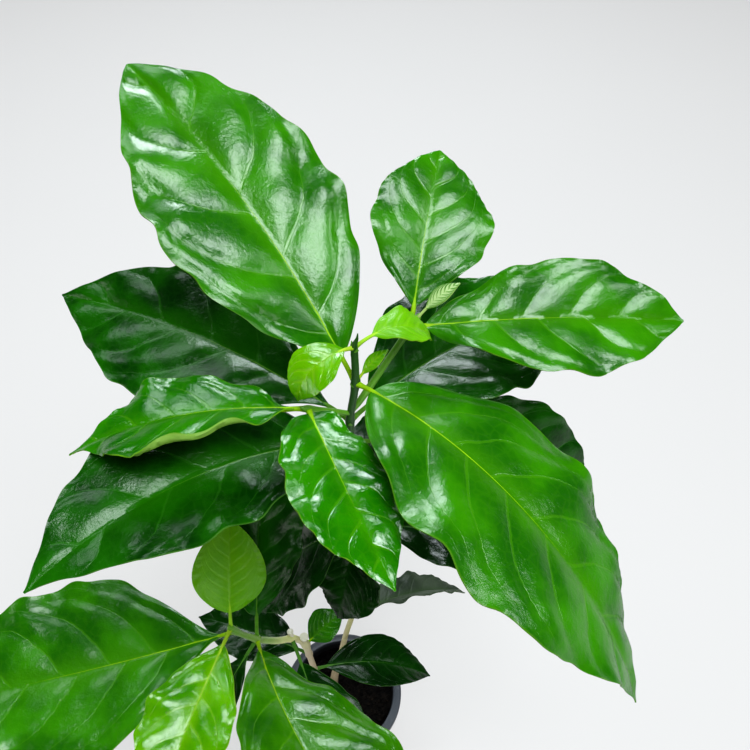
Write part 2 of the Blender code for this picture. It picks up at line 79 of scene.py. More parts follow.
leafSet = {
    # the main stem's top, from the youngest pair down
    "leaf_bud_front": leaf("top1", -146, 26, 118, 31, 9.5, 9, petiole=4.5, roll=16, fold=19, age="young",
                           waves=2, wave=0.8, pucker=0.8),
    "leaf_bud_back": leaf("top1", 24, 36, 108, 31, 9.5, 9, petiole=8, sway=-7, age="freshPaintedBacklight", waves=2.5,
                          wave=1.6),
    "leaf_bud_side": leaf("top2", 25, 56, 30, 14.5, 3.3, 3.3, petiole=5, waves=0, age="young"),
    "leaf_top_back": leaf("top2", 126, 39, 20, 147, 38, 37, petiole=12, sway=12, roll=3, twist=6, base=0.72,
                          taper=0.78, pairs=4.7, pucker=1.15),
    "leaf_top_front": leaf("top2", -40, 13, 77, 163, 41, 43, sway=-10, roll=9, twist=22, fold=10, cup=20,
                           peak=0.46, base=0.67, taper=1.36, pairs=8, pucker=0.85, wave=3),
    "leaf_upper_left": leaf("top3", 143, 6, 14, 152, 38, 32, petiole=10, sway=17, roll=9, twist=10, peak=0.52,
                            base=1.25, taper=1.0, age="deep", pairs=5.5),
    "leaf_upper_right": leaf("top3", 43, 11, 35, 124, 37, 35, petiole=10.5, sway=-17, twist=-8, peak=0.45,
                             age="deep", pucker=0.8),
    "leaf_long_left": leaf("top4", 201, 25, 37, 133, 33, 35, petiole=8, sway=27, fold=18, cup=13, base=0.85,
                           age="deep", pucker=0.8, pairs=5.5),
    "leaf_long_right": leaf("top4", 6, -7, 35, 121, 24, 28, sway=9, roll=-32, twist=-9, fold=22, cup=9,
                            peak=0.58, taper=0.88, age="deep", pucker=0.7),
    # the two twigs in the axils of the third pair
    "leaf_twig_left_out": leaf("left", 189, 18, 52, 93, 22.5, 22, petiole=4, roll=-13, twist=3, peak=0.56,
                               base=1.1, taper=1.85, curl=150, pucker=0.8, age="wet"),
    "leaf_twig_left_front": leaf("left", -69, 10, 20, 79, 17, 21.5, petiole=3, sway=5, roll=13, twist=4,
                                 peak=0.55, base=0.38, age="wet"),
    "leaf_twig_right_back": leaf("right", 80, 42, 27, 70, 23, 27, petiole=7.4, sway=-2, roll=-10, twist=-8,
                                 peak=0.51, base=1.1, waves=3, wave=1.3, pairs=6, pucker=0.85, taper=0.88),
    "leaf_twig_right_out": leaf("right", 3, 5, 17, 109, 24.5, 25.5, petiole=5, sway=3, roll=-18, twist=-10,
                                fold=17, cup=13, peak=0.57, base=0.85, taper=0.94, pucker=1.15, pairs=5.6,
                                wave=2.8, waves=3.6),
    "leaf_twig_right_bud": leaf("right", 20, 60, 40, 17, 4, 4, petiole=10, waves=0, age="bud", pairs=9,
                                pucker=1.6),
    # lower leaves of the main stem
    "leaf_mid_right": leaf("mid1", -5, 3, 30, 95, 24, 23, petiole=10.5, roll=5, age="oldShaded", pucker=0.7,
                           wave=1.5),
    "leaf_mid_left": leaf("mid1", 188, -35, 19, 87, 29, 26, petiole=7, roll=9, peak=0.45, base=0.73, age="oldShaded",
                          pucker=0.5, wave=1.5),
    "leaf_low_front": leaf("mid2", -97, -34, 34, 43, 21, 17, petiole=7, sway=-22, roll=-8, twist=-6, age="oldShaded",
                           pucker=0.6),
    "leaf_low_back": leaf("mid2", 66, 8, 34, 108, 27, 27, age="oldShaded", pucker=0.6, wave=1.5),
    "leaf_stem_right": leaf("low1", 28, 2, 49, 84, 16, 14, petiole=6, sway=-16, roll=29, twist=8, fold=24,
                            cup=6, base=0.7, age="dusty", pucker=0.5, pairs=9, wave=1.6),
    # the side stem and its low shoot
    "leaf_over_soil": leaf("side1", 14, 5, 50, 79, 19.5, 18, petiole=7.5, sway=-23, roll=9, age="oldShaded",
                           pucker=0.25, waves=1, wave=1.2),
    "leaf_side_young": leaf("side3", 35, 37, 30, 27.5, 11, 9, petiole=3.5, roll=-9, peak=0.44, pucker=0.6,
                            waves=2, wave=0.8),
    "leaf_side_under": leaf("shoot0", -66, 4, 35, 95, 23, 22, petiole=15, age="oldShaded", pucker=0.5, wave=1.5),
    "leaf_side_back": leaf("side2", 163, 20, 36, 69, 19, 19, petiole=7, age="oldShaded", pucker=0.5, wave=1.5),
    "leaf_shoot_left": leaf("shoot2", 192, -11, -15, 165, 44, 46, petiole=6.5, twist=11, peak=0.42, base=1.36,
                            taper=0.55, pucker=1.2),
    "leaf_shoot_front": leaf("shoot3", -106, 10, 28, 87, 21, 22, petiole=8.5, roll=4, age="young"),
    "leaf_shoot_back": leaf("shoot3", 89, 58, 27, 47, 18.5, 18, petiole=9.2, roll=-8, peak=0.43, base=0.67,
                            taper=0.73, waves=0, wave=0.8, age="freshPaintedBacklight", pucker=0.25, pairs=8),
    "leaf_shoot_low_front": leaf("shoot1", -69, 26, 21, 157, 39, 33, petiole=7.5, sway=26, roll=25, twist=-5,
                                 peak=0.57, age="bright", pucker=1.2),
    "leaf_shoot_low_back": leaf("shoot1", 85, 61, 31, 102, 24, 23, petiole=14, roll=-7, age="deep"),
    "leaf_shoot_under": leaf("shoot1", -125, -18, 40, 78, 12, 12, petiole=8, age="oldShaded", pucker=0.5),
}


# Shared shape helpers, all in millimetres

def catmull(points, steps):
    points = np.array(points, float)
    ends = np.vstack([2 * points[0] - points[1], points, 2 * points[-1] - points[-2]])
    curve = []
    for i in range(len(points) - 1):
        a, b, c, d = ends[i:i + 4]
        for t in np.arange(steps) / steps:
            curve.append(0.5 * (2 * b + (c - a) * t + (2 * a - 5 * b + 4 * c - d) * t ** 2
                                + (3 * b - a - 3 * c + d) * t ** 3))
    curve.append(points[-1])
    return np.array(curve)


def rowsAt(values, run, station):
    return np.stack([np.interp(station, run, values[:, i]) for i in range(values.shape[1])], 1)


def smooth(low, high, value):
    t = np.clip((value - low) / (high - low), 0, 1)
    return t * t * (3 - 2 * t)


# Soft random swell of about -1 to 1, with one swell every size millimetres
def crumple(x, y, seed, size, fade=0.55):
    draw = np.random.default_rng(seed)
    total = np.zeros_like(x)
    for octave in range(4):
        turn, slide, share = draw.uniform(0, math.tau), draw.uniform(0, math.tau, 2), fade ** octave
        k = math.tau / size * (1 + 0.75 * octave)
        along = x * math.cos(turn) + y * math.sin(turn)
        across = y * math.cos(turn) - x * math.sin(turn)
        total += share * np.sin(k * along + slide[0]) * np.sin(0.8 * k * across + slide[1])
    return total / 1.6


# Modelling helpers

def deselect():
    if bpy.context.object and bpy.context.object.mode != "OBJECT":
        bpy.ops.object.mode_set(mode="OBJECT")
    bpy.ops.object.select_all(action="DESELECT")


def justAdded(name):
    bpy.context.object.name = name
    bpy.context.object.data.name = name
    bpy.ops.object.transform_apply(location=True, rotation=True, scale=True)
    return bpy.context.object


def startEditing(kind, action):
    bpy.ops.object.mode_set(mode="EDIT")
    bpy.ops.mesh.select_mode(type=kind)
    bpy.ops.mesh.select_all(action=action)


def extrudeEdges(rise):
    bpy.ops.mesh.extrude_edges_move(TRANSFORM_OT_translate={"value": (0, 0, rise * mm)})


def closeShape():  # fills the open edge, turns all faces outwards and ends the editing
    bpy.ops.mesh.edge_face_add()
    bpy.ops.mesh.select_all(action="SELECT")
    bpy.ops.mesh.normals_make_consistent(inside=False)
    bpy.ops.object.mode_set(mode="OBJECT")


def gridBlank(name, columns, rows):
    deselect()
    bpy.ops.mesh.primitive_grid_add(x_subdivisions=columns, y_subdivisions=rows, size=2)
    return justAdded(name)


def tubeBlank(name, sides, rings):  # radius 1, one ring at each whole height
    deselect()
    bpy.ops.mesh.primitive_cylinder_add(vertices=sides, radius=1, depth=1, location=(0, 0, 0.5))
    blank = justAdded(name)
    startEditing("FACE", "DESELECT")
    bpy.ops.object.mode_set(mode="OBJECT")
    for face in blank.data.polygons:
        face.select = face.normal.z > 0.9
    bpy.ops.object.mode_set(mode="EDIT")
    for _ in range(rings - 2):
        bpy.ops.mesh.extrude_region_move(TRANSFORM_OT_translate={"value": (0, 0, 1)})
    bpy.ops.object.mode_set(mode="OBJECT")
    return blank


def copyOf(blank, name):
    made = bpy.data.objects.new(name, blank.data.copy())
    made.data.name = name
    bpy.context.scene.collection.objects.link(made)
    return made


def verticesOf(piece):
    flat = np.zeros(len(piece.data.vertices) * 3)
    piece.data.vertices.foreach_get("co", flat)
    return flat.reshape(-1, 3)


def moveVertices(piece, millimetres):
    piece.data.vertices.foreach_set("co", (millimetres * mm).ravel())
    piece.data.update()


def paint(piece, *finishes):
    piece.data.materials.clear()
    for finish in finishes:
        piece.data.materials.append(finish)


def choose(piece):
    deselect()
    piece.select_set(True)
    bpy.context.view_layer.objects.active = piece


def applyAll(piece):
    choose(piece)
    for modifier in list(piece.modifiers):
        bpy.ops.object.modifier_apply(modifier=modifier.name)


def joinTo(piece, others):
    choose(piece)
    for other in others:
        other.select_set(True)
    bpy.ops.object.join()
    return piece


def roundOff(piece, degrees=50):
    choose(piece)
    bpy.ops.object.shade_smooth_by_angle(angle=math.radians(degrees))


# Material helpers

def put(tree, kind, inputs=None, **settings):  # an input is a socket to link or a constant
    node = tree.nodes.new("ShaderNode" + kind)
    for key, value in settings.items():
        setattr(node, key, value)
    for key, value in (inputs or {}).items():
        if isinstance(value, bpy.types.NodeSocket):
            tree.links.new(value, node.inputs[key])
        else:
            node.inputs[key].default_value = value
    return node


def sums(tree, operation, a, b=0.0):
    return put(tree, "Math", {0: a, 1: b}, operation=operation).outputs[0]


def times(tree, a, b):
    return sums(tree, "MULTIPLY", a, b)


def ease(tree, value, low, high, start=0.0, end=1.0):  # from start at low to end at high
    return put(tree, "MapRange", {0: value, 1: low, 2: high, 3: start, 4: end},
               interpolation_type="SMOOTHSTEP").outputs[0]


def tint(tree, share, a, b):  # from colour a to colour b
    a, b = (value if isinstance(value, bpy.types.NodeSocket) else (*value, 1) for value in (a, b))
    return put(tree, "Mix", data_type="RGBA", inputs={0: share, 6: a, 7: b}).outputs[2]


def cloud(tree, place, scale, detail=3.0, roughness=0.55):
    return put(tree, "TexNoise", {"Vector": place, "Scale": scale, "Detail": detail,
                                            "Roughness": roughness}).outputs[0]


def parts(tree, vector):
    return put(tree, "SeparateXYZ", {0: vector}).outputs


def newFinish(name, **constants):
    made = bpy.data.materials.new(name)
    made.use_nodes = True
    shader = made.node_tree.nodes["Principled BSDF"]
    for key, value in constants.items():
        shader.inputs[key.replace("_", " ")].default_value = value
    return made, made.node_tree, shader


def newGroup(name, inputs, outputs):
    tree = bpy.data.node_groups.new(name, "ShaderNodeTree")
    for label, kind in inputs:
        tree.interface.new_socket(name=label, in_out="INPUT", socket_type="NodeSocket" + kind)
    for label, kind in outputs:
        tree.interface.new_socket(name=label, in_out="OUTPUT", socket_type="NodeSocket" + kind)
    return tree, tree.nodes.new("NodeGroupInput").outputs, tree.nodes.new("NodeGroupOutput")


def closeGroup(tree, result, **values):
    for label, value in values.items():
        tree.links.new(value, result.inputs[label])
    return tree


def use(tree, group, inputs):
    return put(tree, "Group", inputs, node_tree=group).outputs


def objectPlace(tree):
    return put(tree, "TexCoord").outputs["Object"]


# Roughness is rough plus the share roughSpan of the pattern uneven
def giveSurface(tree, shader, look, colour, height, uneven, rough):
    bump = put(tree, "Bump", {
        "Strength": look["bump"], "Distance": look["bumpDepth"], "Height": height})
    rough = sums(tree, "ADD", times(tree, uneven, look["roughSpan"]), rough)
    for socket, value in (("Base Color", colour), ("Roughness", rough), ("Normal", bump.outputs[0])):
        tree.links.new(value, shader.inputs[socket])


# A leaf's drawn veins: ends and starts run from the midrib (0) to the edge (1)
patternLook = dict(wobble=0.16, thinning=(0.1, 0.95), thinEnd=0.35, sideEnds=(0.86, 0.97),
                   betweenStarts=(0.25, 0.6), edge=(0.982, 0.996), middle=0.3, netScale=230.0,
                   grainScale=420.0, netDepth=0.05, sideDepth=0.3, veinScale=75.0, veinEdge=(0.6, 1.7),
                   betweenEdge=(0.002, 0.006), betweenShare=0.6, netEdge=(0.02, 0.13))


def makeVeinPattern():  # side veins, fine net between them and the leaf's edge, from its two UV maps
    tree, given, result = newGroup(
        "veinPattern", [("Blade", "Vector"), ("Veins", "Vector"), ("Place", "Vector"), ("Width", "Float")],
        [("Side", "Float"), ("Net", "Float"), ("Edge", "Float"), ("Middle", "Float"), ("Height", "Float")])
    look, place = patternLook, given["Place"]
    blade, veins = parts(tree, given["Blade"]), parts(tree, given["Veins"])
    out = sums(tree, "ABSOLUTE", sums(tree, "SUBTRACT", times(tree, blade[0], 2.0), 1.0))
    wobble = times(tree, sums(tree, "SUBTRACT", cloud(tree, place, 90.0, 2.0), 0.5), look["wobble"])
    phase = sums(tree, "ADD", veins[0], wobble)
    near = sums(tree, "PINGPONG", phase, 0.5)
    distance = times(tree, times(tree, near, veins[1]), look["veinScale"])
    thin = times(tree, given["Width"], ease(tree, out, *look["thinning"], 1.0, look["thinEnd"]))
    side = ease(tree, sums(tree, "DIVIDE", distance, thin), *look["veinEdge"], 1.0, 0.0)
    side = times(tree, side, ease(tree, out, *look["sideEnds"], 1.0, 0.0))
    between = sums(tree, "PINGPONG", sums(tree, "ADD", phase, 0.5), 0.5)
    between = ease(tree, times(tree, between, veins[1]), *look["betweenEdge"], look["betweenShare"], 0.0)
    between = times(tree, between, ease(tree, out, *look["betweenStarts"], 1.0, 0.0))
    cells = put(tree, "TexVoronoi", {"Vector": place, "Scale": look["netScale"]},
                feature="DISTANCE_TO_EDGE").outputs[0]
    net = sums(tree, "MAXIMUM", ease(tree, cells, *look["netEdge"], 1.0, 0.0), between)
    edge = ease(tree, out, *look["edge"])
    middle = ease(tree, out, 0.0, look["middle"], 1.0, 0.0)
    height = cloud(tree, place, look["grainScale"], 4.0, 0.65)
    height = sums(tree, "SUBTRACT", height, times(tree, net, look["netDepth"]))
    height = sums(tree, "SUBTRACT", height, times(tree, side, look["sideDepth"]))
    return closeGroup(tree, result, Side=side, Net=net, Edge=edge, Middle=middle, Height=height)


def makeMottle():  # uneven patches and a fine grain for bark, peat and plastic
    tree, given, result = newGroup(
        "mottle", [("Place", "Vector"), ("Patch", "Float"), ("Grain", "Float")],
        [("Patches", "Float"), ("Grains", "Float"), ("Height", "Float")])
    patches = ease(tree, cloud(tree, given["Place"], given["Patch"], 4.0, 0.6), 0.35, 0.65)
    grains = cloud(tree, given["Place"], given["Grain"], 2.0, 0.6)
    height = sums(tree, "ADD", times(tree, patches, 0.4), grains)
    return closeGroup(tree, result, Patches=patches, Grains=grains, Height=height)


veinPattern = makeVeinPattern()
mottle = makeMottle()


def mottled(tree, place, look):
    return use(tree, mottle, {"Place": place, "Patch": look["patch"], "Grain": look["grain"]})


leafFinishes = dict(
    mature=dict(deep=(0.012, 0.120, 0.0), light=(0.042, 0.245, 0.0), middle=(0.062, 0.265, 0.001),
                vein=(0.08, 0.29, 0.005), rib=(0.25, 0.47, 0.008), edge=(0.09, 0.25, 0.01),
                under=(0.07, 0.18, 0.02), glow=(0.12, 0.50, 0.0), shine=0.17, glowShare=0.2, gloss=0.5,
                veins=0.42, coat=0.12),
    bright=dict(deep=(0.012, 0.115, 0.0), light=(0.055, 0.245, 0.0), middle=(0.06, 0.26, 0.001),
                vein=(0.12, 0.34, 0.005), rib=(0.30, 0.50, 0.01), edge=(0.13, 0.30, 0.01),
                under=(0.08, 0.21, 0.02), glow=(0.18, 0.60, 0.0), shine=0.12, glowShare=0.22, gloss=0.5,
                veins=0.42, coat=0.12),
    wet=dict(deep=(0.006, 0.120, 0.0), light=(0.030, 0.235, 0.0), middle=(0.055, 0.27, 0.001),
             vein=(0.09, 0.31, 0.005), rib=(0.26, 0.50, 0.008), edge=(0.12, 0.30, 0.01),
             under=(0.22, 0.40, 0.06), glow=(0.12, 0.55, 0.0), shine=0.01, glowShare=0.2, gloss=0.75,
             veins=0.42, coat=0.12),
    # The deep and old finishes have less gloss and coat than mature: painted shade from the leaves above them,
    # since the real leaves are as glossy.
    deep=dict(deep=(0.001, 0.035, 0.0), light=(0.010, 0.115, 0.0), middle=(0.018, 0.15, 0.0),
              vein=(0.03, 0.17, 0.01), rib=(0.11, 0.28, 0.025), edge=(0.06, 0.18, 0.02),
              under=(0.035, 0.10, 0.02), glow=(0.04, 0.30, 0.0), shine=0.16, glowShare=0.13, gloss=0.32,
              veins=0.36, coat=0.06),
    oldShaded=dict(deep=(0.001, 0.016, 0.001), light=(0.004, 0.048, 0.001), middle=(0.008, 0.07, 0.002),
             vein=(0.02, 0.10, 0.01), rib=(0.07, 0.19, 0.025), edge=(0.04, 0.12, 0.02),
             under=(0.03, 0.07, 0.02), glow=(0.02, 0.17, 0.0), shine=0.12, glowShare=0.10, gloss=0.25,
             veins=0.2, coat=0.05),
    dusty=dict(deep=(0.026, 0.046, 0.022), light=(0.085, 0.118, 0.072), middle=(0.06, 0.11, 0.04),
               vein=(0.07, 0.12, 0.05), rib=(0.10, 0.19, 0.05), edge=(0.07, 0.12, 0.05),
               under=(0.05, 0.08, 0.04), glow=(0.03, 0.12, 0.01), shine=0.42, glowShare=0.05, gloss=0.3,
               veins=0.25, coat=0.0),
    # A young leaf's paler green, made lighter still: painted light standing in for the backlight shining
    # through the leaf.
    freshPaintedBacklight=dict(deep=(0.11, 0.36, 0.0), light=(0.16, 0.43, 0.0), middle=(0.16, 0.42, 0.0),
               vein=(0.24, 0.52, 0.02), rib=(0.30, 0.55, 0.03), edge=(0.22, 0.46, 0.02),
               under=(0.09, 0.24, 0.02), glow=(0.40, 0.9, 0.0), shine=0.30, glowShare=0.16, gloss=0.3,
               veins=0.26, coat=0.05),
    young=dict(deep=(0.045, 0.24, 0.0), light=(0.15, 0.43, 0.0), middle=(0.23, 0.50, 0.001),
               vein=(0.25, 0.47, 0.02), rib=(0.34, 0.52, 0.03), edge=(0.25, 0.45, 0.03),
               under=(0.13, 0.31, 0.03), glow=(0.34, 0.80, 0.0), shine=0.02, glowShare=0.28, gloss=0.55,
               veins=0.42, coat=0.12),
    bud=dict(deep=(0.06, 0.20, 0.01), light=(0.10, 0.28, 0.02), middle=(0.16, 0.36, 0.04),
             vein=(0.50, 0.66, 0.30), rib=(0.45, 0.60, 0.20), edge=(0.30, 0.48, 0.12),
             under=(0.16, 0.32, 0.06), glow=(0.30, 0.60, 0.05), shine=0.3, glowShare=0.2, gloss=0.4,
             veins=0.85, coat=0.12))

# Shared by all leaf finishes
leafSurface = dict(coatRough=0.1, underGloss=0.3, underRough=0.42, veinWidth=0.5, patch=38.0, middle=0.55,
                   net=0.10, edge=0.6, roughPatch=120.0, roughSpan=0.12, bump=0.5, bumpDepth=0.00056)
plainSurface = dict(gloss=0.07, patch=160.0, grain=900.0, roughSpan=0.2, bump=0.25, bumpDepth=0.0003)


def leafMaterial(name, look, upperSide):
    made, tree, shader = newFinish(
        name, Coat_Weight=look["coat"] if upperSide else 0.0, Coat_Roughness=leafSurface["coatRough"],
        Specular_IOR_Level=look["gloss"] if upperSide else leafSurface["underGloss"])
    place = objectPlace(tree)
    pattern = use(tree, veinPattern, {
        "Blade": put(tree, "UVMap", uv_map="blade").outputs[0],
        "Veins": put(tree, "UVMap", uv_map="veins").outputs[0],
        "Place": place, "Width": leafSurface["veinWidth"]})
    patches = ease(tree, cloud(tree, place, leafSurface["patch"]), 0.32, 0.68)
    if upperSide:
        colour = tint(tree, patches, look["deep"], look["light"])
        middle = times(tree, pattern["Middle"], leafSurface["middle"])
        colour = tint(tree, middle, colour, look["middle"])
    else:
        colour = tint(tree, patches, [0.8 * c for c in look["under"]], look["under"])
    for part, share, shade in (("Net", leafSurface["net"], "vein"), ("Side", look["veins"], "vein"),
                               ("Edge", leafSurface["edge"], "edge")):
        colour = tint(tree, times(tree, pattern[part], share), colour, look[shade])
    giveSurface(tree, shader, leafSurface, colour, pattern["Height"],
                cloud(tree, place, leafSurface["roughPatch"]),
                look["shine"] if upperSide else leafSurface["underRough"])
    through = put(tree, "BsdfTranslucent", {"Color": (*look["glow"], 1)})
    mixed = put(tree, "MixShader",
                {0: look["glowShare"], 1: shader.outputs[0], 2: through.outputs[0]})
    tree.links.new(mixed.outputs[0], tree.nodes["Material Output"].inputs[0])
    return made


def plainLeafPart(name, colour, second, rough):  # midribs, petioles and cut edges
    made, tree, shader = newFinish(name, Specular_IOR_Level=plainSurface["gloss"])
    grain = mottled(tree, objectPlace(tree), plainSurface)
    colour = tint(tree, grain["Patches"], colour, second)
    giveSurface(tree, shader, plainSurface, colour, grain["Height"], grain["Grains"], rough)
    return made


leafMaterials = {}
for age, look in leafFinishes.items():
    leafMaterials[age] = (
        leafMaterial(age + "LeafUpper", look, True), leafMaterial(age + "LeafUnder", look, False),
        plainLeafPart(age + "LeafEdge", look["edge"], [0.8 * c for c in look["edge"]], 0.3),
        plainLeafPart(age + "LeafRib", look["rib"], [0.75 * c for c in look["rib"]], 0.36))
print("leaf finishes made")


# Leaf shapes

# Millimetres, except lobe, pucker and wave, which are shares, and hinge, where a rolled margin starts
bladeLook = dict(thickness=0.5, hinge=0.76, wave=1.0, lobe=0.03, ripple=0.45, groove=0.25, swell=0.42,
                 swellSize=25.0, grooveWidth=1.7, pucker=0.062)
veinLook = dict(lean=0.55, sweep=1.0, offset=0.35)
ribLook = dict(wide=0.98, high=0.4, deep=1.6, tipWide=0.22, flare=0.35, reach=0.985)
fullSize = 60  # from this length on, a leaf has its full rib, waves and groove


def smallness(measures):
    return min(1, measures["length"] / fullSize)


def outline(t, measures):
    peak = measures["peak"]
    rising = np.sin(np.pi / 2 * np.clip(t / peak, 0, 1)) ** measures["base"]
    falling = np.clip(np.cos(np.pi / 2 * np.clip((t - peak) / (1 - peak), 0, 1)), 0, 1) ** measures["taper"]
    return np.where(t < peak, rising, falling)


def midrib(measures):
    total = measures["petiole"] + measures["length"]
    run = np.linspace(0, total, 321)
    u = run / total
    slope = np.radians(measures["rise"] - measures["droop"] * u ** 1.15)
    heading = np.radians(measures["azimuth"] + measures["sway"] * u)
    ahead = np.stack([np.cos(slope) * np.cos(heading), np.cos(slope) * np.sin(heading), np.sin(slope)], 1)
    steps = (ahead[1:] + ahead[:-1]) / 2 * np.diff(run)[:, None]
    centre = np.vstack([np.zeros(3), np.cumsum(steps, axis=0)]) + np.array(joints[measures["joint"]][0], float)
    level = np.stack([np.sin(heading), -np.cos(heading), 0 * heading], 1)
    upright = np.cross(level, ahead)
    roll = np.radians(measures["roll"] + measures["twist"] * u)[:, None]
    side = np.cos(roll) * level + np.sin(roll) * upright
    return run, centre, side, np.cos(roll) * upright - np.sin(roll) * level


def veinPhase(measures, t, v, half, leftward):  # whole numbers lie on the side veins
    out = np.abs(v)
    forward = ((veinLook["lean"] + 0.3 * t) * out + veinLook["sweep"] * out ** 5) * half / measures["length"]
    start = t - forward
    phase = measures["pairs"] * (1.3 * start - 0.3 * start ** 2)
    spacing = measures["length"] / measures["pairs"] / np.clip(1.3 - 0.6 * start, 0.5, 1.4)
    return phase + veinLook["offset"] * leftward + 0.25, spacing


def stalkWidth(measures):
    return ribLook["wide"] * (0.45 + 0.55 * smallness(measures))


def bladeHalf(measures, t, v, seed):
    widest = np.where(v > 0, measures["right"], measures["left"])
    shape = widest * outline(t, measures)
    lobes = np.sin(math.tau * (measures["waves"] * 1.35 * t + 0.37 * seed + 0.5 * (v > 0)))
    lobes = lobes + 0.22 * np.sin(math.tau * (measures["waves"] * 2.6 * t + 0.61 * seed + 0.2 * (v > 0)))
    half = np.hypot(shape * (1 + bladeLook["lobe"] * lobes * smooth(0.05, 0.3, t)), 0.35)
    return half, np.minimum(1, shape / (3 * stalkWidth(measures)))


def bladePoints(measures, t, v, seed):
    run, centre, side, upper = midrib(measures)
    station = measures["petiole"] + measures["length"] * t
    place, right, up = (rowsAt(values, run, station) for values in (centre, side, upper))
    half, blade = bladeHalf(measures, t, v, seed)
    out, small = np.abs(v), smallness(measures)
    tilt = np.radians(measures["fold"] - measures["cup"] * out / 2) * blade
    phase, spacing = veinPhase(measures, t, v, half, (v < 0) * 1.0)
    lift = out * half * np.sin(tilt)
    uneven = 0.75 + 0.45 * np.sin(math.tau * (1.7 * t + 0.29 * seed + 0.3 * (v > 0)))
    uneven = bladeLook["wave"] * uneven * small * (1 - 0.8 * smooth(0.7, 1.0, t))
    lift += measures["wave"] * uneven * blade * v ** 2 * np.sin(
        math.tau * (measures["waves"] * t + 0.5 * (v > 0)))
    reach = smooth(0.0, 0.22, out) * (1 - 0.75 * smooth(0.75, 1.0, out)) * np.minimum(1, half / 10)
    lift += measures["pucker"] * bladeLook["pucker"] * spacing * (
        np.abs(np.sin(math.pi * phase)) ** 0.65 - 0.6) * reach
    lift += bladeLook["ripple"] * small * out ** 3 * np.sin(math.tau * phase) * np.minimum(1, half / 10)
    rough = 0.35 + 0.65 * min(1, measures["pucker"])
    lift += bladeLook["swell"] * rough * crumple(station, v * half, seed, bladeLook["swellSize"], 0.4) * reach
    lift -= bladeLook["groove"] * small * np.exp(-(out * half / bladeLook["grooveWidth"]) ** 2) * blade
    across = v * half * np.cos(tilt)
    if measures["curl"]:  # the left margin rolls up and over, and shows its paler underside
        past = np.clip(-v - bladeLook["hinge"], 0, None) * half
        turned = math.radians(measures["curl"]) * smooth(0.08, 0.3, t) * (1 - smooth(0.5, 0.72, t))
        turned = np.maximum(turned * past / (1 - bladeLook["hinge"]) / half, 1e-6)
        across += past * (1 - np.sin(turned) / turned)
        lift += past * (1 - np.cos(turned)) / turned
    return place + across[:, None] * right + lift[:, None] * up


def layMaps(piece, measures, t, v, seed):
    mesh = piece.data
    corners = np.zeros(len(mesh.loops), int)
    mesh.loops.foreach_get("vertex_index", corners)
    leftward = np.zeros(len(mesh.loops))
    for face in mesh.polygons:
        leftward[face.loop_start:face.loop_start + face.loop_total] = v[list(face.vertices)].mean() < 0
    half, _ = bladeHalf(measures, t, v, seed)
    phase, spacing = veinPhase(measures, t[corners], v[corners], half[corners], leftward)
    maps = dict(blade=((v[corners] + 1) / 2, t[corners]), veins=(phase, spacing / 100))
    while mesh.uv_layers:
        mesh.uv_layers.remove(mesh.uv_layers[0])
    for name, (across, along) in maps.items():
        layer = mesh.uv_layers.new(name=name)
        layer.data.foreach_set("uv", np.stack([across, along], 1).ravel())


def ribPoints(measures, ring, turn, rings):
    run, centre, side, upper = midrib(measures)
    petiole, length = measures["petiole"], measures["length"]
    small, stalk = smallness(measures), stalkWidth(measures)
    stem = joints[measures["joint"]][1]
    start = 0.35 * stem
    share = ring / (rings - 1)
    station = start + (petiole + ribLook["reach"] * length - start) * share ** 1.15
    t = np.clip((station - petiole) / length, 0, 1)
    onBlade = smooth(-1.5, 6.0, station - petiole)
    wide = stalk * (1 - onBlade * 0.12) * (1 - t) ** 0.75 + ribLook["tipWide"] * small * t
    wide *= 1 + ribLook["flare"] * np.exp(-np.clip(station - stem, 0, None) / 1.6)
    high = wide * (1 - onBlade) * 0.92 + onBlade * (ribLook["high"] * small * (1 - 0.6 * t))
    deep = wide * (1 - onBlade) + onBlade * (ribLook["deep"] * small * (1 - t) ** 0.8 + 0.3)
    place, right, up = (rowsAt(values, run, station) for values in (centre, side, upper))
    lift = np.where(np.sin(turn) > 0, high, deep) * np.sin(turn)
    channel = 0.22 * wide * (1 - onBlade) * np.exp(-(np.cos(turn) / 0.45) ** 2) * (np.sin(turn) > 0.2)
    lift = lift - channel - bladeLook["groove"] * small * onBlade
    return place + (wide * np.cos(turn))[:, None] * right + lift[:, None] * up


# Blank leaves: the shortest length, the blade's columns and rows, and the rib's sides and rings
blankSizes = dict(Large=(110, 36, 120, 12, 64), Medium=(40, 28, 80, 12, 48), Small=(0, 20, 48, 10, 30))
blanks = [(shortest, gridBlank("blade" + size, columns, rows), tubeBlank("rib" + size, sides, rings), rings)
          for size, (shortest, columns, rows, sides, rings) in blankSizes.items()]


def makeLeaf(node, measures, seed):
    bladeBlank, ribBlank, rings = next(row[1:] for row in blanks if measures["length"] > row[0])
    name = "coffee_" + node
    piece = copyOf(bladeBlank, name)
    start = verticesOf(piece)
    v = start[:, 0]
    along = (start[:, 1] + 1) / 2
    t = 0.7 * along + 0.3 * (1 - np.cos(np.pi * along)) / 2
    layMaps(piece, measures, t, v, seed)
    moveVertices(piece, bladePoints(measures, t, v, seed))
    paint(piece, *leafMaterials[measures["age"]])
    shell = piece.modifiers.new("thickness", "SOLIDIFY")
    shell.thickness = bladeLook["thickness"] * mm
    shell.offset = 0
    shell.material_offset = 1
    shell.material_offset_rim = 2
    applyAll(piece)
    rib = copyOf(ribBlank, name + "_rib")
    shape = verticesOf(rib)
    moveVertices(rib, ribPoints(measures, shape[:, 2], np.arctan2(shape[:, 1], shape[:, 0]), rings))
    paint(rib, *leafMaterials[measures["age"]])
    for face in rib.data.polygons:
        face.material_index = 3
    joinTo(piece, [rib])
    roundOff(piece)
    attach(piece, "root")
    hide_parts(node)


for seed, (node, measures) in enumerate(leafSet.items()):
    makeLeaf(node, measures, seed + 1)
for _, bladeBlank, ribBlank, _ in blanks:
    bpy.data.objects.remove(bladeBlank)
    bpy.data.objects.remove(ribBlank)
print("leaves made:", len(leafSet))


# Stems

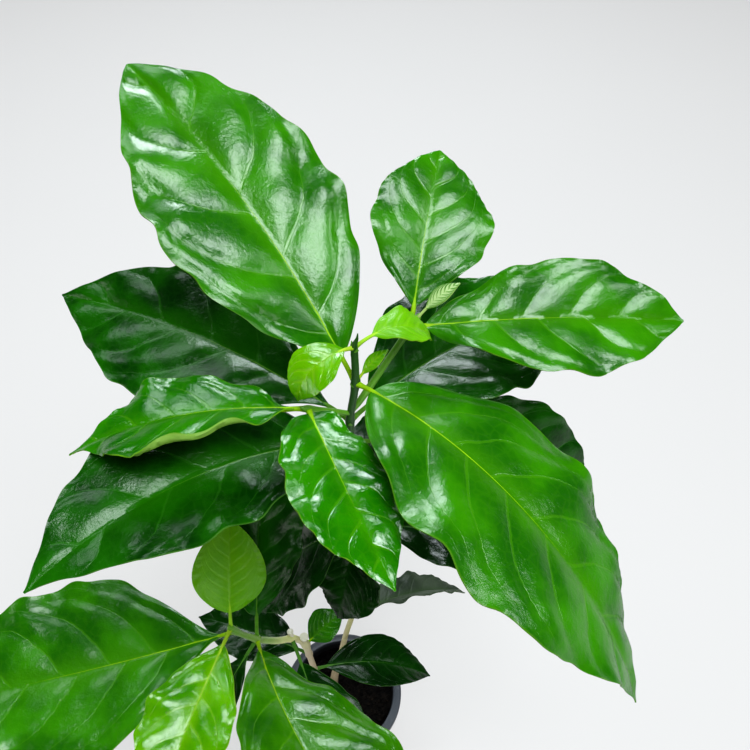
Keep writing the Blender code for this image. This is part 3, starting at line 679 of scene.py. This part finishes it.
# Swelling and scar at each joint are shares of the radius, and their widths are in millimetres
stemLook = dict(swelling=0.26, swellWidth=2.6, scar=0.07, scarWidth=0.5, scarOff=3.4, unevenness=0.03,
                bumpiness=9.0, patch=330.0, grain=1500.0, stretch=0.22, bump=0.6, bumpDepth=0.0004,
                rough=0.38, roughSpan=0.35, woody=(0.12, 0.26), rampTop=500, blend=30)
stipuleLook = dict(wide=1.1, thick=0.35, tall=2.6, bow=0.35, seat=0.86, sink=0.6)
stemColours = dict(bark=(0.48, 0.40, 0.26), barkDark=(0.30, 0.23, 0.13), pale=(0.62, 0.62, 0.28),
                   green=(0.20, 0.34, 0.05), top=(0.012, 0.075, 0.006), twig=(0.10, 0.29, 0.012),
                   callus=(0.60, 0.58, 0.46))


def stemMaterial(name, stops):  # colours up the stem, by height in millimetres
    made, tree, shader = newFinish(name, Coat_Weight=0.05)
    place = objectPlace(tree)
    stretched = put(tree, "Mapping", {0: place, 3: (1, 1, stemLook["stretch"])}).outputs[0]
    grain = mottled(tree, stretched, stemLook)
    blend = times(tree, cloud(tree, place, 60.0), stemLook["blend"] * mm)
    level = sums(tree, "ADD", parts(tree, place)[2], blend)
    ramp = put(tree, "ValToRGB", {0: times(tree, level, 1000 / stemLook["rampTop"])})
    while len(ramp.color_ramp.elements) < len(stops):
        ramp.color_ramp.elements.new(1.0)
    for element, (height, colour) in zip(ramp.color_ramp.elements, stops):
        element.position = (height + stemLook["blend"] / 2) / stemLook["rampTop"]
        element.color = (*colour, 1)
    dark = tint(tree, 0.55, ramp.outputs[0], stemColours["barkDark"])
    woody = ease(tree, parts(tree, place)[2], *stemLook["woody"], 1.0, 0.05)
    colour = tint(tree, times(tree, grain["Patches"], woody), ramp.outputs[0], dark)
    giveSurface(tree, shader, stemLook, colour, grain["Height"], woody, stemLook["rough"])
    return made


mainStemFinish = stemMaterial("mainStemSkin", [
    (60, stemColours["bark"]), (150, stemColours["bark"]), (225, stemColours["pale"]),
    (300, stemColours["green"]), (400, stemColours["top"])])
sideStemFinish = stemMaterial("sideStemSkin", [
    (60, stemColours["bark"]), (225, stemColours["bark"]), (250, stemColours["pale"]),
    (275, stemColours["green"]), (320, stemColours["twig"])])
twigFinish = stemMaterial("twigSkin", [(60, stemColours["twig"]), (470, stemColours["twig"])])
callusFinish = stemMaterial("callusSkin", [(60, stemColours["callus"]), (470, stemColours["callus"])])


def makeTube(name, rows, sides, rings, finish, seed, extra=None):
    curve = catmull(rows, 24)
    run = np.concatenate([[0], np.cumsum(np.linalg.norm(np.diff(curve[:, :3], axis=0), axis=1))])
    blank = tubeBlank(name, sides, rings)
    shape = verticesOf(blank)
    ring, turn = shape[:, 2], np.arctan2(shape[:, 1], shape[:, 0])
    station = run[-1] * ring / (rings - 1)
    centre = rowsAt(curve[:, :3], run, station)
    ahead = rowsAt(np.gradient(curve[:, :3], run, axis=0), run, station)
    ahead /= np.linalg.norm(ahead, axis=1)[:, None]
    across = np.cross(ahead, (0.1, 1, 0.05))
    across /= np.linalg.norm(across, axis=1)[:, None]
    up = np.cross(across, ahead)
    radius = np.interp(station, run, curve[:, 3])
    for place, _ in joints.values():
        away = np.linalg.norm(np.array(place, float) - centre, axis=1)
        radius = radius * (
            1 + stemLook["swelling"] * np.exp(-(away / stemLook["swellWidth"]) ** 2)
            + stemLook["scar"] * np.exp(-((away - stemLook["scarOff"]) / stemLook["scarWidth"]) ** 2))
    uneven = crumple(station, 4 * np.cos(turn) + 3 * np.sin(turn), seed, stemLook["bumpiness"])
    radius = radius * (1 + stemLook["unevenness"] * uneven)
    if extra:
        radius = extra(radius, station / run[-1])
    around = np.cos(turn)[:, None] * across + np.sin(turn)[:, None] * up
    moveVertices(blank, centre + radius[:, None] * around)
    paint(blank, finish)
    return blank


def callusEnd(radius, share):  # a healed cut: a thicker lip round a domed end
    swollen = radius * (1 + 0.22 * np.exp(-((share - 0.9) / 0.07) ** 2))
    return swollen * np.sqrt(np.clip(1 - smooth(0.93, 1.0, share) * 0.85, 0, 1))


def bluntEnd(radius, share):
    return radius * np.sqrt(np.clip(1 - smooth(0.965, 1.0, share) * 0.8, 0, 1))


def makeStipules(names, finish):  # small pointed scales between the leaf stalks
    made = []
    for name, facing in names:
        (x, y, z), radius = joints[name]
        for turn in (facing, facing + 180):
            deselect()
            bpy.ops.mesh.primitive_cone_add(
                vertices=10, radius1=1, radius2=0.04, depth=1, location=(0, 0, 0.5))
            scale = justAdded("stipule")
            shape = verticesOf(scale)
            height = shape[:, 2]
            out = (shape[:, 0] * stipuleLook["thick"] + stipuleLook["bow"] * radius * height ** 2
                   + radius * stipuleLook["seat"])
            aside = shape[:, 1] * stipuleLook["wide"]
            c, s = math.cos(math.radians(turn)), math.sin(math.radians(turn))
            moveVertices(scale, np.stack([x + out * c - aside * s, y + out * s + aside * c,
                                          z + height * stipuleLook["tall"] - stipuleLook["sink"]], 1))
            paint(scale, finish)
            made.append(scale)
    return made


def makeStems():
    main = makeTube("coffee_main_stem", stemRows["main"], 28, 300, mainStemFinish, 3, bluntEnd)
    twigs = [makeTube("leftTwig", stemRows["leftTwig"], 16, 40, twigFinish, 4, bluntEnd),
             makeTube("rightTwig", stemRows["rightTwig"], 16, 60, twigFinish, 5, bluntEnd)]
    scales = makeStipules([("top1", 120), ("top2", 40), ("top3", 90), ("right", 130)], twigFinish)
    joinTo(main, twigs + scales)
    side = makeTube("coffee_side_stem", stemRows["side"], 26, 160, sideStemFinish, 6, callusEnd)
    others = [makeTube("stemCap", stemRows["cap"], 24, 16, callusFinish, 9, callusEnd),
              makeTube("lowShoot", stemRows["shoot"], 20, 120, sideStemFinish, 7, bluntEnd),
              makeTube("lowStub", stemRows["stub"], 16, 30, callusFinish, 8, callusEnd)]
    joinTo(side, others + makeStipules([("shoot1", 20), ("shoot2", 80)], sideStemFinish))
    for piece, node, slot in ((main, "main_stem", "stem_green"), (side, "side_stem", "stem_bark")):
        roundOff(piece)
        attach(piece, "root")
        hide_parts(node)


makeStems()
print("stems made")


# Pot

# The colours meet, in metres, at the wall's outer radius at its foot, the inner radius and the lip's height
potLook = dict(sides=128, lip=(0.048, 0.056, 0.068), wall=(0.27, 0.155, 0.115), inside=(0.010, 0.010, 0.011),
               slope=0.11, outer=(0.0302, 0.0306), inner=(0.0384, 0.0389), lipEdge=(0.0745, 0.077),
               scuff=(0.03, 0.036, 0.046), scuffs=0.25, dust=(0.16, 0.17, 0.18), dusting=0.25,
               drainRing=20.0, drainRadius=3.5, drainHoles=6, drill=8, patch=45.0, grain=2200.0,
               bump=0.25, bumpDepth=0.0002, rough=0.3, roughSpan=0.25)
potProfile = [  # radius and height, from the underside up the outside, over the lip and down the inside
    (29.2, 0), (30.4, 0.4), (31.1, 1.5), (34.9, 38), (38.0, 66), (38.9, 74), (39.34, 76), (39.6, 79.8),
    (43.3, 79.8), (43.8, 79.4), (43.8, 76.3), (44.2, 76), (44.7, 76), (45, 76.4), (45, 80.9), (44.85, 81.5),
    (44.4, 81.9), (43.8, 82.0), (42.9, 81.86), (40.2, 81.86), (39.5, 82.0), (39.0, 81.7), (38.8, 81.1),
    (38.75, 79), (36.6, 60), (33.3, 30), (30.2, 2.6), (29.6, 2.0)]


def potMaterial():
    made, tree, shader = newFinish("nurseryPlastic")
    place = objectPlace(tree)
    grain = mottled(tree, place, potLook)
    x, y, z = parts(tree, place)
    level = put(tree, "CombineXYZ", {0: x, 1: y}).outputs[0]
    out = put(tree, "VectorMath", {0: level}, operation="LENGTH").outputs["Value"]
    flare = sums(tree, "SUBTRACT", out, times(tree, z, potLook["slope"]))
    outer = ease(tree, flare, *potLook["outer"])
    inner = times(tree, ease(tree, out, *potLook["inner"], 1.0, 0.0),
                 sums(tree, "SUBTRACT", 1.0, outer))
    under = times(tree, ease(tree, z, *potLook["lipEdge"], 1.0, 0.0), outer)
    colour = tint(tree, under, potLook["lip"], potLook["wall"])
    colour = tint(tree, inner, colour, potLook["inside"])
    colour = tint(tree, times(tree, grain["Patches"], potLook["scuffs"]), colour, potLook["scuff"])
    dust = ease(tree, cloud(tree, place, 240.0, 5.0, 0.7), 0.55, 0.75)
    colour = tint(tree, times(tree, dust, potLook["dusting"]), colour, potLook["dust"])
    giveSurface(tree, shader, potLook, colour, grain["Height"], grain["Grains"], potLook["rough"])
    return made


def makePot():
    deselect()
    radius, height = potProfile[0]
    bpy.ops.mesh.primitive_circle_add(vertices=potLook["sides"], radius=radius * mm, fill_type="NGON",
                                      location=(0, 0, height * mm))
    pot = justAdded("nursery_pot")
    startEditing("EDGE", "SELECT")
    for nextRadius, nextHeight in potProfile[1:]:
        extrudeEdges(nextHeight - height)
        factor = nextRadius / radius
        bpy.ops.transform.resize(value=(factor, factor, 1), center_override=(0, 0, nextHeight * mm))
        radius, height = nextRadius, nextHeight
    closeShape()
    drills = []
    for i in range(potLook["drainHoles"]):
        turn = math.tau * i / potLook["drainHoles"]
        deselect()
        bpy.ops.mesh.primitive_cylinder_add(
            vertices=32, radius=potLook["drainRadius"] * mm, depth=potLook["drill"] * mm,
            location=(potLook["drainRing"] * math.cos(turn) * mm,
                      potLook["drainRing"] * math.sin(turn) * mm, mm))
        drills.append(justAdded("drill"))
    drill = joinTo(drills[0], drills[1:])
    hole = pot.modifiers.new("drainHoles", "BOOLEAN")
    hole.operation = "DIFFERENCE"
    hole.solver = "EXACT"
    hole.object = drill
    applyAll(pot)
    bpy.data.objects.remove(drill)
    paint(pot, potMaterial())
    roundOff(pot, 35)
    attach(pot, "root")
    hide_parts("pot")


makePot()
print("pot made")


# Soil

# Each swell is a share of bumps, a seed and a size in millimetres
soilLook = dict(radius=37.7, level=71.4, mound=1.6, bumps=0.9, skirt=4, depth=62, foot=0.79,
                swells=((1, 41, 11.0), (0.5, 42, 4.2), (0.25, 43, 1.9)),
                dark=(0.0018, 0.0014, 0.0012), pale=(0.008, 0.0056, 0.004), fleck=(0.05, 0.034, 0.02),
                flecks=0.45, gloss=0.12, patch=260.0, grain=1400.0, bump=0.9, bumpDepth=0.0008,
                rough=0.95, roughSpan=-0.3, crumbs=1100, smallest=0.35, largest=1.7, lumps=0.3,
                spread=0.985, chips=60, chipShape=(3.2, 0.7, 0.45))


def soilMaterial():
    made, tree, shader = newFinish("dampPeat", Specular_IOR_Level=soilLook["gloss"])
    place = objectPlace(tree)
    grain = mottled(tree, place, soilLook)
    colour = tint(tree, grain["Patches"], soilLook["dark"], soilLook["pale"])
    flecks = ease(tree, cloud(tree, place, 520.0, 2.0), 0.66, 0.74)
    colour = tint(tree, times(tree, flecks, soilLook["flecks"]), colour, soilLook["fleck"])
    giveSurface(tree, shader, soilLook, colour, grain["Height"], grain["Grains"], soilLook["rough"])
    return made


def soilHeight(x, y):
    out = np.hypot(x, y) / soilLook["radius"]
    bumps = sum(share * crumple(x, y, seed, size) for share, seed, size in soilLook["swells"])
    return soilLook["level"] + soilLook["mound"] * (1 - out ** 2) + soilLook["bumps"] * bumps


def turned(a, b, angle):
    return a * math.cos(angle) - b * math.sin(angle), a * math.sin(angle) + b * math.cos(angle)


def makeCrumbs(finish):
    draw = np.random.default_rng(17)
    deselect()
    bpy.ops.mesh.primitive_ico_sphere_add(subdivisions=2, radius=1)
    blank = justAdded("crumbBlank")
    shape = verticesOf(blank)
    made = []
    for i in range(soilLook["crumbs"]):
        out = soilLook["radius"] * soilLook["spread"] * math.sqrt(draw.uniform())
        turn = draw.uniform(0, math.tau)
        x, y = out * math.cos(turn), out * math.sin(turn)
        size = soilLook["smallest"] + (soilLook["largest"] - soilLook["smallest"]) * draw.uniform() ** 3
        stretch = draw.uniform(0.6, 1.4, 3)
        if i < soilLook["chips"]:
            stretch *= soilLook["chipShape"]
        size = min(size, max(soilLook["radius"] - out, 0.4))
        uneven = crumple(shape[:, 0] + 0.7 * shape[:, 2], shape[:, 1], 100 + i, 1.7)
        grain = shape * (1 + soilLook["lumps"] * uneven)[:, None] * stretch * size
        spin, lean = draw.uniform(0, math.tau), draw.uniform(-0.5, 0.5)
        across, height = turned(grain[:, 0], grain[:, 2], lean)
        across, aside = turned(across, grain[:, 1], spin)
        grain = np.stack([across, aside, height], 1)
        z = float(soilHeight(np.array([x]), np.array([y]))[0]) + 0.25 * size
        crumb = copyOf(blank, "crumb")
        moveVertices(crumb, grain + (x, y, z))
        paint(crumb, finish)
        made.append(crumb)
    bpy.data.objects.remove(blank)
    return made


def makeSoil():
    finish = soilMaterial()
    soil = gridBlank("potting_soil", 130, 130)
    shape = verticesOf(soil)
    a, b = shape[:, 0], shape[:, 1]
    x = soilLook["radius"] * a * np.sqrt(1 - b * b / 2)  # the square grid pressed into a disc
    y = soilLook["radius"] * b * np.sqrt(1 - a * a / 2)
    moveVertices(soil, np.stack([x, y, soilHeight(x, y)], 1))
    choose(soil)
    startEditing("EDGE", "DESELECT")
    bpy.ops.mesh.select_non_manifold(extend=False)
    extrudeEdges(-soilLook["skirt"])
    extrudeEdges(-soilLook["depth"])
    bpy.ops.transform.resize(value=(soilLook["foot"], soilLook["foot"], 1), center_override=(0, 0, 0))
    closeShape()
    paint(soil, finish)
    joinTo(soil, makeCrumbs(finish))
    roundOff(soil, 60)
    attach(soil, "root")
    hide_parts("soil")


makeSoil()
print("soil made")


# Studio

studio = dict(floor=(0.255, 0.252, 0.248), floorGlow=0.44, floorSize=40.0, sky=(0.9, 0.95, 1.0),
              skyStrength=0.03, wall=(0.50, 0.505, 0.51), aim=(0, 0, 0.36))
lamps = dict(
    overhead=dict(place=(0.30, -0.36, 1.83), size=(0.8, 0.8), power=27, colour=(0.92, 0.97, 1.0)),
    behindLeft=dict(place=(-0.62, 0.84, 1.63), size=(0.6, 0.6), power=5, colour=(0.88, 0.95, 1.0)),
    rightEdge=dict(place=(0.95, -0.05, 1.22), size=(0.22, 0.22), power=2.2, colour=(0.94, 0.98, 1.0)),
    window=dict(place=(-0.05, 1.35, 1.40), size=(0.45, 0.45), power=13, colour=(0.88, 0.95, 1.0)),
    frontFill=dict(place=(0.3, -1.9, 0.7), size=(1.4, 0.9), power=10, colour=(1.0, 0.99, 0.96)),
    leftFill=dict(place=(-1.7, -0.2, 0.6), size=(0.8, 0.8), power=7, colour=(1.0, 0.99, 0.97)))


def hang(name, data, place, turn):
    holder = bpy.data.objects.new(name, data)
    bpy.context.scene.collection.objects.link(holder)
    holder.location, holder.rotation_euler = place, turn
    return holder


def makeStudio():
    deselect()
    bpy.ops.mesh.primitive_plane_add(size=studio["floorSize"], location=(0, 0, 0))
    floor = justAdded("paleFloor")
    finish, tree, shader = newFinish("palePaper", Roughness=0.9)
    soft = ease(tree, cloud(tree, objectPlace(tree), 1.3, 2.0), 0.3, 0.7)
    paper = tint(tree, soft, studio["floor"], [0.97 * c for c in studio["floor"]])
    tree.links.new(paper, shader.inputs["Base Color"])
    shader.inputs["Emission Color"].default_value = (1, 1, 1, 1)
    shader.inputs["Emission Strength"].default_value = studio["floorGlow"]
    paint(floor, finish)
    for name, lamp in lamps.items():
        light = bpy.data.lights.new(name, "AREA")
        light.shape = "RECTANGLE"
        light.size, light.size_y = lamp["size"]
        light.energy = lamp["power"]
        light.color = lamp["colour"]
        x, y, z = np.array(lamp["place"]) - np.array(studio["aim"])
        hang(name, light, lamp["place"],
             (math.atan2(math.hypot(x, y), z), 0, math.atan2(y, x) + math.pi / 2))
    world = bpy.data.worlds.new("softRoom")
    world.use_nodes = True
    tree = world.node_tree
    room = tree.nodes["Background"]
    room.inputs["Color"].default_value = (*studio["sky"], 1)
    room.inputs["Strength"].default_value = studio["skyStrength"]
    wall = put(tree, "Background", {"Color": (*studio["wall"], 1)})
    seen = put(tree, "LightPath").outputs["Is Camera Ray"]
    mixed = put(tree, "MixShader", {0: seen, 1: room.outputs[0], 2: wall.outputs[0]})
    tree.links.new(mixed.outputs[0], tree.nodes["World Output"].inputs[0])
    bpy.context.scene.world = world
    bpy.context.scene.view_settings.view_transform = "Standard"
    bpy.context.scene.view_settings.look = "Medium High Contrast"


def makeCamera():
    camera = bpy.data.cameras.new("photoCamera")
    camera.lens = cameraView["lens"]
    camera.sensor_width = cameraView["sensor"]
    camera.sensor_fit = "HORIZONTAL"
    camera.clip_start = 0.01
    camera.clip_end = 50
    camera.dof.use_dof = False
    bpy.context.scene.camera = hang("photoCamera", camera, cameraView["place"],
                                    (math.radians(cameraView["tilt"]), 0, 0))


makeStudio()
makeCamera()
print("studio and camera made")
